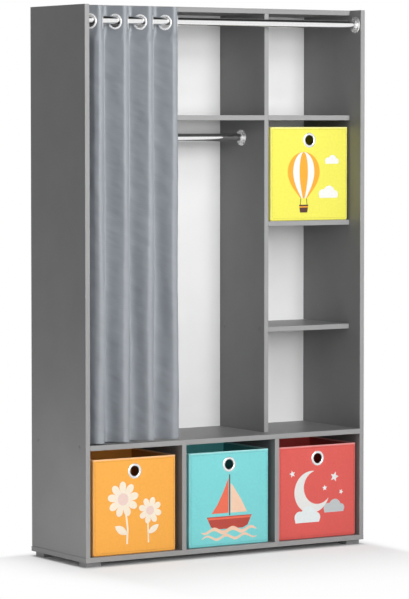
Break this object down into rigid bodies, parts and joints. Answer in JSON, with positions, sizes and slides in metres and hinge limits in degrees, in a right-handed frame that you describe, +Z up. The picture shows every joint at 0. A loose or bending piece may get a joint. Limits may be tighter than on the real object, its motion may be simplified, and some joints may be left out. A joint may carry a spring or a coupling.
{
  "type": "kids wardrobe",
  "caption": "Open wardrobe with a hanging bay behind a gathered eyelet curtain, a column of shelves, and fabric boxes that pull out of the bays.",
  "frame": {"origin": "on the floor under the middle of the base panel", "axes": "+Z up; +X to the right of someone facing the open front; the open front faces -Y"},
  "size_m": [1.0468, 0.341, 1.729],
  "materials": {
    "grey_board": "matt anthracite decor board",
    "white_back": "white faced thin board",
    "white_plastic": "white extruded strip",
    "grey_plastic": "matt grey moulding",
    "chrome": "polished chrome plate",
    "steel": "zinc plated steel",
    "beech": "plain turned wood",
    "grey_card": "grey card",
    "curtain_fabric": "blue grey satin weave",
    "yellow_fabric": "nonwoven fabric",
    "orange_fabric": "nonwoven fabric",
    "turquoise_fabric": "nonwoven fabric",
    "red_fabric": "nonwoven fabric"
  },
  "bodies": {
    "carcass": {"base_panel": "grey_board", "left_side_panel": "grey_board", "right_side_panel": "grey_board", "top_panel": "grey_board", "mid_panel": "grey_board", "centre_divider": "grey_board", "hat_shelf_left": "grey_board", "hat_shelf_right": "grey_board", "box_shelf": "grey_board", "lower_shelf": "grey_board", "lower_divider_left": "grey_board", "lower_divider_right": "grey_board", "back_panel_left": "white_back", "back_panel_right": "white_back", "back_joining_strip": "white_plastic", "feet": "grey_plastic", "screw_caps": "grey_plastic", "curtain_rail": "chrome", "curtain_rail_flanges": "chrome", "clothes_rail": "chrome", "clothes_rail_flanges": "chrome", "flange_screws": "steel", "foot_screws": "steel", "assembly_screws": "steel", "cam_bolts": "steel", "cam_discs": "steel", "dowels": "beech"},
    "curtain": {"curtain_cloth": "curtain_fabric", "curtain_eyelet_1": "chrome"},
    "curtain_ring_2": {"curtain_eyelet_2": "chrome"},
    "curtain_ring_3": {"curtain_eyelet_3": "chrome"},
    "curtain_ring_4": {"curtain_eyelet_4": "chrome"},
    "curtain_ring_5": {"curtain_eyelet_5": "chrome"},
    "curtain_ring_6": {"curtain_eyelet_6": "chrome"},
    "curtain_ring_7": {"curtain_eyelet_7": "chrome"},
    "curtain_lead": {"curtain_eyelet_8": "chrome"},
    "yellow_box": {"yellow_box_cover": "yellow_fabric", "yellow_box_wall_boards": "grey_card", "yellow_box_lining": "yellow_fabric", "yellow_box_eyelet": "chrome"},
    "yellow_base": {"yellow_box_base_board": "yellow_fabric"},
    "orange_box": {"orange_box_cover": "orange_fabric", "orange_box_wall_boards": "grey_card", "orange_box_lining": "orange_fabric", "orange_box_eyelet": "chrome"},
    "orange_base": {"orange_box_base_board": "orange_fabric"},
    "turquoise_box": {"turquoise_box_cover": "turquoise_fabric", "turquoise_box_wall_boards": "grey_card", "turquoise_box_lining": "turquoise_fabric", "turquoise_box_eyelet": "chrome"},
    "turquoise_base": {"turquoise_box_base_board": "turquoise_fabric"},
    "red_box": {"red_box_cover": "red_fabric", "red_box_wall_boards": "grey_card", "red_box_lining": "red_fabric", "red_box_eyelet": "chrome"},
    "red_base": {"red_box_base_board": "red_fabric"}
  },
  "joints": [
    {"name": "curtain_slide", "type": "slide", "parent": "carcass", "child": "curtain", "axis": [1, 0, 0], "range_m": [0, 0.19]},
    {"name": "curtain_spread", "type": "slide", "parent": "curtain", "child": "curtain_lead", "axis": [1, 0, 0], "range_m": [0, 0.15], "deforming": ["curtain_cloth"]},
    {"name": "curtain_ring_2_spread", "type": "slide", "parent": "curtain", "child": "curtain_ring_2", "axis": [1, 0, 0], "range_m": [0, 0.0219]},
    {"name": "curtain_ring_3_spread", "type": "slide", "parent": "curtain", "child": "curtain_ring_3", "axis": [1, 0, 0], "range_m": [0, 0.0434]},
    {"name": "curtain_ring_4_spread", "type": "slide", "parent": "curtain", "child": "curtain_ring_4", "axis": [1, 0, 0], "range_m": [0, 0.0648]},
    {"name": "curtain_ring_5_spread", "type": "slide", "parent": "curtain", "child": "curtain_ring_5", "axis": [1, 0, 0], "range_m": [0, 0.0862]},
    {"name": "curtain_ring_6_spread", "type": "slide", "parent": "curtain", "child": "curtain_ring_6", "axis": [1, 0, 0], "range_m": [0, 0.1076]},
    {"name": "curtain_ring_7_spread", "type": "slide", "parent": "curtain", "child": "curtain_ring_7", "axis": [1, 0, 0], "range_m": [0, 0.1291]},
    {"name": "yellow_box_pull", "type": "slide", "parent": "carcass", "child": "yellow_box", "axis": [0, -1, 0], "range_m": [0, 0.35]},
    {"name": "yellow_base_lift", "type": "slide", "parent": "yellow_box", "child": "yellow_base", "axis": [0, 0, 1], "range_m": [0, 0.3]},
    {"name": "orange_box_pull", "type": "slide", "parent": "carcass", "child": "orange_box", "axis": [0, -1, 0], "range_m": [0, 0.3]},
    {"name": "orange_base_lift", "type": "slide", "parent": "orange_box", "child": "orange_base", "axis": [0, 0, 1], "range_m": [0, 0.3]},
    {"name": "turquoise_box_pull", "type": "slide", "parent": "carcass", "child": "turquoise_box", "axis": [0, -1, 0], "range_m": [0, 0.3]},
    {"name": "turquoise_base_lift", "type": "slide", "parent": "turquoise_box", "child": "turquoise_base", "axis": [0, 0, 1], "range_m": [0, 0.3]},
    {"name": "red_box_pull", "type": "slide", "parent": "carcass", "child": "red_box", "axis": [0, -1, 0], "range_m": [0, 0.3]},
    {"name": "red_base_lift", "type": "slide", "parent": "red_box", "child": "red_base", "axis": [0, 0, 1], "range_m": [0, 0.3]}
  ],
  "couplings": [
    {"joint": "curtain_ring_2_spread", "follows": "curtain_spread", "ratio": 0.14286},
    {"joint": "curtain_ring_3_spread", "follows": "curtain_spread", "ratio": 0.28571},
    {"joint": "curtain_ring_4_spread", "follows": "curtain_spread", "ratio": 0.42857},
    {"joint": "curtain_ring_5_spread", "follows": "curtain_spread", "ratio": 0.57143},
    {"joint": "curtain_ring_6_spread", "follows": "curtain_spread", "ratio": 0.71429},
    {"joint": "curtain_ring_7_spread", "follows": "curtain_spread", "ratio": 0.85714}
  ]
}
